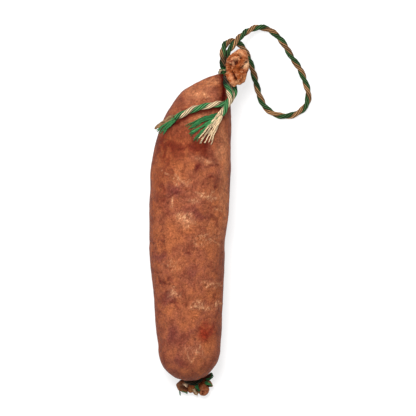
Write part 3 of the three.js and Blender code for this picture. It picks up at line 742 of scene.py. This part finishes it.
# Areas with pale filaments, given as the patches are
PALE_AREAS = [
    (4, 40.6, 5, 3, -20, 0.7), (-12, 28, 6, 3, -45, 0.7), (3.6, 17.4, 7, 2.4, -8, 0.9),
    (-17.6, 12.4, 1.6, 3, 15, 0.7), (-8, 1.4, 6, 3, -30, 0.9), (-2, 13, 5, 2, 0, 0.6),
    (8, -8, 7, 4, -20, 0.5), (1, -13, 6, 4, 0, 0.5), (-15.6, -46.4, 4, 2.4, 0, 0.7),
    (0, -55, 6, 2.4, -10, 0.9), (13, -53.4, 4, 2, 12, 0.8), (9, -40.6, 6, 2, 0, 0.6),
    # The pale area at (3.6, 81.6) is a painted highlight on the shoulder
    (3.6, 81.6, 5, 3, 0, 0.9), (0, 69, 7, 3, 20, 0.5), (-16, -28, 6, 4, 0, 0.4), (-3, -84, 8, 5, 0, 0.35),
]

# Painted shade and shadow on the skin close below the twine: line from above, width and strength
SHADES = [
    ([(15.2, 96.5), (15.5, 90), (15.8, 84), (15.0, 79.5)], 2.1, 1.0),
    ([(13.5, 73.8), (8, 73.2), (2, 71.8), (-5, 69.8), (-11, 66.8), (-15.5, 63.8)], 1.8, 0.92),
    ([(-16.5, 64), (-19.5, 60.5)], 1.0, 0.6),
    ([(12.0, 95.2), (15.0, 95.6)], 1.2, 0.7),
    ([(9.5, 67), (5.5, 60), (2.5, 53)], 2.0, 0.5),
    ([(-6, 60), (-3, 52), (5, 49)], 2.6, 0.45),
]


def patch_weight(points, patch):
    x, y, half_width, half_length, turn, strength = patch
    c, s = math.cos(math.radians(turn)), math.sin(math.radians(turn))
    u, v = points[:, 0] - x, points[:, 1] - y
    square = ((u * c + v * s) / half_width) ** 2 + ((v * c - u * s) / half_length) ** 2
    return strength * np.exp(-square ** 1.5)


def skin_colours(points, normals, near):
    """Mottled brown all round, and on the upper side the patches and marks that show from above."""
    upper = np.clip((points[:, 2] - 20) / 8, 0, 1)
    colours = np.tile(SKIN_TONES["brown"], (len(points), 1))
    warp = np.column_stack([fractal(points + shift, 9.0, 4) for shift in (300, 340, 380)]) * 6.0
    broad, small = fractal(points + warp + 200, 22.0, 4), fractal(points + 0.5 * warp + 260, 6.0, 4)
    blend(colours, "amber", np.clip(1.6 * broad + 0.7 * small, 0, 0.8) * (1 - 0.5 * upper))
    blend(colours, "mauve", np.clip(-1.6 * broad + 0.6 * small, 0, 0.45) * (1 - 0.5 * upper))
    seen = points + 0.6 * warp
    for tone, patches in PATCHES.items():
        for patch in patches:
            blend(colours, tone, patch_weight(seen, patch) * upper)
    blend(colours, "amber", np.clip(1.2 * small - 0.1, 0, 0.35))
    blend(colours, "maroon", np.clip(-1.1 * small - 0.12, 0, 0.35))
    filaments = creases(points + 700, 3.2)
    for patch in PALE_AREAS:
        blend(colours, "pale", patch_weight(seen, patch) * upper * (0.1 + 0.85 * filaments ** 2))
    dried = np.clip(0.5 + 1.5 * fractal(points + 90, 18.0), 0, 1)
    blend(colours, "maroon", 0.35 * creases(points + 640, 5.5) * dried)
    broken = broken_up(points)
    bent = points + 0.15 * warp
    # Along the strokes the skin is pale on ridges and maroon in creases: partly the casing's own lines,
    # partly painted highlight and painted shade
    for line, width, height in STROKES:
        weight = min(0.45, 1.3 * abs(height)) * stroke_weight(bent, line, width)
        blend(colours, "pale" if height > 0 else "maroon", weight * upper * broken)
    # Painted shadow below the twine
    for line, width, strength in SHADES:
        blend(colours, "shade", strength * stroke_weight(points, line, width) * upper)
    # Painted shade in the hollows of the skin
    blend(colours, "maroon", np.clip(5.0 * near, 0, 0.3))
    # Painted shade: the skin darker and redder where it turns away from above, on the sides and underneath
    side = 1 - np.clip(normals[:, 2] / 0.75, 0, 1)
    colours *= 1 - side[:, None] * [0.18, 0.38, 0.56]
    return colours


def fold_colours(points, near, wide, spots, gather_end, most_pale):
    """Dried casing of the folds, with painted highlight in tan on their crests, up to most_pale, painted
    shade in dark red brown in the slits, and painted shadow of that colour beyond gather_end."""
    colours = np.tile(SKIN_TONES["fold"], (len(points), 1))
    for x, y, z, size, tone, strength in spots:
        square = (((points - [x, y, z]) / size) ** 2).sum(axis=1)
        colours += (strength * np.exp(-square ** 1.5))[:, None] * (np.array(tone) - colours)
    colours *= (1 + 0.22 * fractal(points + 520, 1.5, 4))[:, None]
    # Painted shade in the slits, painted highlight on the crests, and painted shadow next to the casing
    blend(colours, "slit", np.clip(7.0 * near + 1.3 * wide - 0.1, 0, 0.95))
    blend(colours, "pale", np.clip(-3.2 * near - 0.15, 0, most_pale))
    blend(colours, "slit", np.clip((points[:, 1] - gather_end) / 1.6, 0, 0.92))
    return colours


def blend(colours, tone, weight):
    colours += weight[:, None] * (SKIN_TONES[tone] - colours)


# Materials
def new_material(name):
    material = bpy.data.materials.new(name)
    material.use_nodes = True
    tree = material.node_tree
    return material, tree, tree.nodes["Principled BSDF"]


def node(tree, kind, **settings):
    made = tree.nodes.new(kind)
    for key, value in settings.items():
        if hasattr(made, key):
            setattr(made, key, value)
        else:
            made.inputs[key.replace("_", " ")].default_value = value
    return made


def ramp(tree, source, low, high, out_low, out_high):
    made = node(tree, "ShaderNodeMapRange")
    tree.links.new(source, made.inputs["Value"])
    for key, value in (("From Min", low), ("From Max", high), ("To Min", out_low), ("To Max", out_high)):
        made.inputs[key].default_value = value
    return made.outputs["Result"]


def multiplied(tree, colour, factor):
    made = node(tree, "ShaderNodeVectorMath", operation="SCALE")
    tree.links.new(colour, made.inputs[0])
    tree.links.new(factor, made.inputs["Scale"])
    return made.outputs[0]


def twine_material():
    material, tree, shader = new_material("twine")
    tone = node(tree, "ShaderNodeAttribute", attribute_name="tone")
    fibre = node(tree, "ShaderNodeAttribute", attribute_name="fibre")
    streaks = node(tree, "ShaderNodeTexNoise", Scale=2.4, Detail=3.0, Roughness=0.6)
    tree.links.new(fibre.outputs["Vector"], streaks.inputs["Vector"])
    shade = ramp(tree, streaks.outputs["Fac"], 0.3, 0.7, 0.6, 1.3)
    tree.links.new(multiplied(tree, tone.outputs["Color"], shade), shader.inputs["Base Color"])
    bump = node(tree, "ShaderNodeBump", Strength=0.6, Distance=0.0004)
    tree.links.new(streaks.outputs["Fac"], bump.inputs["Height"])
    tree.links.new(bump.outputs["Normal"], shader.inputs["Normal"])
    shader.inputs["Roughness"].default_value = 0.85
    shader.inputs["Specular IOR Level"].default_value = 0.15
    return material


def hair_lines(tree, place, scale, on_line):
    """Thin winding lines where a noise passes its middle: on_line there and 1 elsewhere."""
    texture = node(tree, "ShaderNodeTexNoise", Scale=scale, Detail=5.0, Roughness=0.62, Distortion=2.0)
    tree.links.new(place, texture.inputs["Vector"])
    away = node(tree, "ShaderNodeMath", operation="SUBTRACT")
    tree.links.new(texture.outputs["Fac"], away.inputs[0])
    away.inputs[1].default_value = 0.5
    size = node(tree, "ShaderNodeMath", operation="ABSOLUTE")
    tree.links.new(away.outputs[0], size.inputs[0])
    return ramp(tree, size.outputs[0], 0.0, 0.03, on_line, 1.0)


def skin_material():
    material, tree, shader = new_material("casing")
    tone = node(tree, "ShaderNodeAttribute", attribute_name="tone")
    place = node(tree, "ShaderNodeTexCoord").outputs["Object"]
    mottle = node(tree, "ShaderNodeTexNoise", Scale=620.0, Detail=4.0, Roughness=0.88, Distortion=1.4)
    tree.links.new(place, mottle.inputs["Vector"])
    line = hair_lines(tree, place, 170.0, 0.68)
    light_line = hair_lines(tree, place, 260.0, 1.32)
    shade = ramp(tree, mottle.outputs["Fac"], 0.3, 0.7, 0.46, 1.54)
    base = tone.outputs["Color"]
    for factor in (shade, line, light_line):
        base = multiplied(tree, base, factor)
    tree.links.new(base, shader.inputs["Base Color"])
    height = node(tree, "ShaderNodeMath", operation="ADD")
    tree.links.new(mottle.outputs["Fac"], height.inputs[0])
    tree.links.new(line, height.inputs[1])
    bump = node(tree, "ShaderNodeBump", Strength=0.7, Distance=0.0005)
    tree.links.new(height.outputs[0], bump.inputs["Height"])
    tree.links.new(bump.outputs["Normal"], shader.inputs["Normal"])
    tree.links.new(ramp(tree, mottle.outputs["Fac"], 0.3, 0.7, 0.38, 0.6), shader.inputs["Roughness"])
    shader.inputs["Specular IOR Level"].default_value = 0.04
    return material


# Share of the natural yarn's colour that is left in its stained end
STAINED = np.array([0.62, 0.46, 0.36])

# How far along each tail its plies come apart, and the routes of the loose yarns from there
LONG_TWIST_END = 59.0
LONG_NATURAL_END = [(-16.6, 68.2, 41.3), (-20.0, 66.6, 40.0), (-23.4, 64.6, 38.2), (-26.0, 62.9, 36.2),
                    (-28.0, 61.2, 34.6)]
LONG_GREEN_END = [
    [(-16.4, 67.0, 41.8), (-19.8, 65.0, 40.4), (-22.8, 62.8, 38.6), (-25.2, 61.0, 36.6), (-27.2, 59.4, 34.8)],
    [(-16.2, 66.4, 41.8), (-19.2, 64.0, 40.8), (-21.8, 61.8, 39.4), (-24.0, 59.8, 37.4), (-25.6, 58.2, 35.8)],
    [(-15.8, 66.0, 41.8), (-18.2, 63.6, 41.0), (-20.4, 61.4, 40.0), (-22.0, 59.4, 38.6), (-23.4, 57.6, 37.2)],
]
SHORT_TWIST_END = 29.0
SHORT_NATURAL_LIFTS = (4.4, 1.0)
SHORT_GREEN_LIFTS = (2.2, 0.9)
# In the fray or in the tail itself, width of the clump, and places from above
SHORT_NATURAL_ENDS = [
    (True, 0.9, [(14.0, 72.6), (10.4, 67.6), (6.2, 62.4), (2.2, 57.6), (-0.6, 54.8)]),
    (False, 1.1, [(14.4, 72.0), (11.2, 66.8), (7.8, 61.6), (4.4, 56.6), (2.0, 53.6)]),
    (True, 0.6, [(14.2, 71.4), (10.6, 66.2), (6.4, 60.2), (3.0, 55.4), (0.6, 51.2)]),
    (False, 1.0, [(14.8, 71.6), (12.0, 66.2), (8.8, 60.8), (6.2, 56.0), (3.8, 51.2)]),
    (False, 1.0, [(15.2, 71.2), (12.6, 65.6), (9.8, 60.2), (7.4, 55.6), (5.8, 51.4)]),
    (True, 1.1, [(15.6, 70.8), (13.2, 65.2), (10.8, 59.8), (8.8, 54.8), (7.4, 50.2)]),
]
SHORT_GREEN_ENDS = [
    [(12.4, 70.4), (8.0, 69.0), (2.0, 67.4), (-2.8, 64.6), (-7.0, 61.8)],
    [(12.0, 69.4), (7.6, 67.4), (2.4, 65.6), (-1.6, 63.6), (-5.2, 60.8)],
    [(11.6, 68.4), (7.2, 65.2), (2.6, 62.4), (-2.2, 59.6), (-6.4, 56.8)],
    [(11.2, 67.6), (7.0, 63.8), (3.4, 60.4), (0.2, 57.0), (-2.8, 53.4)],
    [(10.4, 67.0), (7.6, 64.4), (5.4, 63.2), (3.8, 61.6)],
]


def twisted(route, end, tones, green_at, pitch, tie_shade, far_from_tie=99):
    """Twine along a route, up to the place where its plies come apart."""
    surface = Surface()
    centres, along = smooth_route(route, TWINE_STEP)
    kept = along <= end
    add_twine(surface, centres[kept], along[kept], TWINE, tones, green_at, pitch, tie_shade=tie_shade,
              far_from_tie=far_from_tie)
    return surface


def make_twine_pieces(material):
    # The tails take the twine's own colours, and the loop takes the shaded copies as painted shade
    bright, dark = (GREEN, NATURAL), (GREEN_SHADED, NATURAL_SHADED)

    loop = twisted(LOOP_ROUTE, LOOP_LENGTH + 1, dark, (38.9, 127.3, 0), LOOP_PITCH, 0.7, far_from_tie=0)
    declare_cord(mesh_object("loop", loop, material), "loop_cord")

    tail = twisted(LONG_TAIL_ROUTE, LONG_TWIST_END, bright, (0.3, 74.1, 0), LONG_TAIL_PITCH, 0.8)
    add_frayed(tail, LONG_NATURAL_END, 2.6, NATURAL * STAINED, strands=14, spread=0.3, strand=1.4, tip=0.9)
    fray = Surface()
    for route, piece in zip(LONG_GREEN_END, (tail, tail, fray)):
        add_frayed(piece, route, 1.9, GREEN, strands=9, spread=0.45)
    fray = mesh_object("long_tail_fray", fray, material)
    declare_cord(mesh_object("long_tail", tail, material), "tail_long")

    tail = twisted(SHORT_TAIL_ROUTE, SHORT_TWIST_END, bright, (16.6, 74.8, 0), SHORT_TAIL_PITCH, 0.93)
    fray = Surface()
    for outer, width, places in SHORT_NATURAL_ENDS:
        route = laid_on_skin(places, SHORT_NATURAL_LIFTS)
        add_frayed(fray if outer else tail, route, width, NATURAL * 1.3, strands=3, spread=0.4,
                   strand=0.72, tip=0.7)
    for places in SHORT_GREEN_ENDS:
        route = laid_on_skin(places, SHORT_GREEN_LIFTS)
        add_frayed(fray, route, 2.6, GREEN * 1.1, strands=16, spread=0.9, strand=0.6)
    fray = mesh_object("short_tail_fray", fray, material)
    declare_cord(mesh_object("short_tail", tail, material), "tail_short")


def ring_route(centre, axis, radius, step):
    axis = np.array(axis, dtype=float)
    side = np.cross(axis, (0, 0, 1.0))
    side /= np.linalg.norm(side)
    other = np.cross(axis, side)
    count = round(2 * math.pi * radius / step)
    angle = 2 * math.pi * np.arange(count)[:, None] / count
    return centre + radius * (side * np.cos(angle) + other * np.sin(angle)), angle[:, 0] * radius


# Loose yarns on the neck tie, and how far the scraps in the far gather stand off its folds
NECK_PALE_YARN = [(12.9, 96.6, 26.2), (13.7, 98.1, 27.8), (15.2, 98.8, 29.0), (17.4, 98.4, 30.0)]
NECK_DARK_YARNS = [
    [(14.2, 103.4, 27.0), (14.4, 101.4, 27.8), (15.0, 99.4, 28.6), (16.4, 97.0, 29.2)],
    [(15.8, 103.8, 24.6), (16.0, 101.6, 25.6), (16.6, 99.4, 26.8), (17.4, 97.6, 28.0)],
]
YARN_LIFT = 0.6
TIE_STEP = 0.3
NECK_TIE_SWELL = 1.12
# The end tie's colour is cut almost to black: painted shadow in the gap under the casing
END_TIE_SHADE = 0.1


def make_ties(material):
    end_centre, end_axis = end_tie_place()
    # The neck tie takes the shaded copies of the twine's colours as painted shade, and the end tie takes
    # painted shadow
    dark = np.array([GREEN_SHADED, NATURAL_SHADED])
    ties = [
        ("neck_tie", NECK_CENTRE, (0, 1, 0), NECK_RADIUS, TWINE, NECK_TIE_SWELL, dark, (15.0, 97.0, 26.0)),
        ("end_tie", end_centre, end_axis, END_NECK_RADIUS, END_TWINE, 1.0, END_TIE_SHADE * dark,
         (-2.0, -103.0, 12.0)),
    ]
    for solid, centre, axis, neck_radius, diameter, swell, tones, green_at in ties:
        radius = neck_radius + GAP + diameter / 2
        centres, along = ring_route(centre, axis, radius, TIE_STEP)
        surface = Surface()
        add_twine(surface, centres, along, diameter * swell, tones, green_at, math.pi * radius, closed=True)
        if solid == "neck_tie":
            add_frayed(surface, NECK_PALE_YARN, 0.4, NATURAL, strands=3, spread=0.2, tip=0.8)
            for route in NECK_DARK_YARNS:
                add_frayed(surface, route, 2.2, GREEN_SHADED, strands=8, spread=0.6, strand=0.9)
        piece = mesh_object(solid + "_twine", surface, material)
        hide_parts(solid)


def make_yarns(material):
    for name, (green, width, route) in YARNS.items():
        surface = Surface()
        lifted = np.array(route) + [0, 0, YARN_LIFT]
        # The natural scraps are painted brighter than the twine's natural: painted light against the shade
        # they lie in
        tone = GREEN * 0.8 if green else NATURAL * 1.15
        add_frayed(surface, lifted, 1.5 * width, tone, strands=9, spread=0.3 * width, strand=0.45 * width)
        piece = mesh_object(name + "_scrap", surface, material)
        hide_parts(name)


# Painted light on the folds of each end: where the painted shadow of the gather ends, which the knob
# doesn't have, and the most pale that the painted highlight on a crest gets
KNOB_PAINTED_LIGHT = (120, 0.36)
TUFT_PAINTED_LIGHT = (-104.4, 0.16)

# Colours of single places on the folds: centre, size, colour and strength
KNOB_SPOTS = [
    (29.5, 102.2, 37, 3.0, srgb(252, 208, 162), 0.95), (28.8, 98.0, 37, 2.0, srgb(136, 48, 34), 0.7),
    (28.6, 110.0, 36, 4.0, srgb(172, 98, 50), 0.7), (20.4, 94.0, 37, 4.0, srgb(158, 70, 26), 0.95),
    (24.6, 91.6, 36, 2.6, srgb(232, 172, 118), 0.85), (27.8, 94.4, 36, 3.0, srgb(226, 162, 108), 0.8),
    (21.8, 103.6, 40, 2.6, srgb(112, 60, 50), 0.7), (30.0, 106.4, 37, 1.8, srgb(136, 56, 34), 0.7),
    (25.0, 109.0, 38, 3.0, srgb(180, 104, 56), 0.5),
]
TUFT_SPOTS = [
    (-12.5, -107.0, 7, 4.4, srgb(80, 34, 16), 0.95), (-9.2, -106.4, 9, 1.6, srgb(236, 206, 172), 0.95),
    (-4.6, -109.4, 7, 3.0, srgb(142, 98, 58), 0.7), (2.6, -109.6, 7, 4.2, srgb(134, 62, 36), 0.9),
    (7.2, -105.4, 7, 2.4, srgb(112, 62, 36), 0.7), (6.4, -100.6, 9, 2.4, srgb(168, 122, 84), 0.6),
    (-1.8, -111.2, 6, 1.6, srgb(206, 168, 124), 0.7),
]


def make_casing(material):
    rings = skin_rings()
    relief = skin_relief(rings.reshape(-1, 3)).reshape(rings.shape[:2])
    rings = rings + relief[..., None] * ring_normals(rings)
    rings[..., 2] = np.maximum(rings[..., 2], 0.0)
    body = bare_object("casing", with_hubs(rings), grid_faces(len(rings), SIDES))
    combined(body, [bare_object("fold", *lump_surface(lump)) for lump in (KNOB, TUFT)], "UNION")
    mesh = body.data
    points, normals, near, wide = mesh_values(mesh)
    colours = skin_colours(points, normals, near)
    for lump, spots, painted_light in ((KNOB, KNOB_SPOTS, KNOB_PAINTED_LIGHT), (TUFT, TUFT_SPOTS, TUFT_PAINTED_LIGHT)):
        distance = lump_distance(points - lump["centre"], lump)
        share = np.clip((1.2 - distance) / 0.6, 0, 1)[:, None]
        colours += share * (fold_colours(points, near, wide, spots, *painted_light) - colours)
    set_values(mesh, "tone", "FLOAT_COLOR", colours)
    mesh.materials.clear()
    mesh.materials.append(material)
    mesh.shade_smooth()
    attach(body, "root")
    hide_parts("sausage")


def make_stage():
    mesh = bpy.data.meshes.new("table")
    half = 3.0
    corners = [(-half, -half, 0), (half, -half, 0), (half, half, 0), (-half, half, 0)]
    mesh.from_pydata(corners, [], [(0, 1, 2, 3)])
    table = bpy.data.objects.new("table", mesh)
    table.location.z = -0.0002
    bpy.context.scene.collection.objects.link(table)
    material, _, shader = new_material("table")
    shader.inputs["Base Color"].default_value = (0.3, 0.3, 0.3, 1)
    shader.inputs["Roughness"].default_value = 0.9
    shader.inputs["Emission Color"].default_value = (1, 1, 1, 1)
    shader.inputs["Emission Strength"].default_value = 0.72
    mesh.materials.append(material)


def make_lights():
    world = bpy.data.worlds.new("studio")
    bpy.context.scene.world = world
    world.use_nodes = True
    world.node_tree.nodes["Background"].inputs["Color"].default_value = (1, 1, 1, 1)
    world.node_tree.nodes["Background"].inputs["Strength"].default_value = 0.42
    data = bpy.data.lights.new("soft_box", "AREA")
    data.shape = "DISK"
    data.size = 0.5
    data.energy = 19
    light = bpy.data.objects.new("soft_box", data)
    light.location = (-0.16, 0.36, 1.2)
    light.rotation_euler = (-light.location).to_track_quat("-Z", "Y").to_euler()
    bpy.context.scene.collection.objects.link(light)
    bpy.context.scene.view_settings.view_transform = "Standard"


make_camera()
twine = twine_material()
make_twine_pieces(twine)
make_ties(twine)
make_yarns(twine)
make_casing(skin_material())
make_stage()
make_lights()
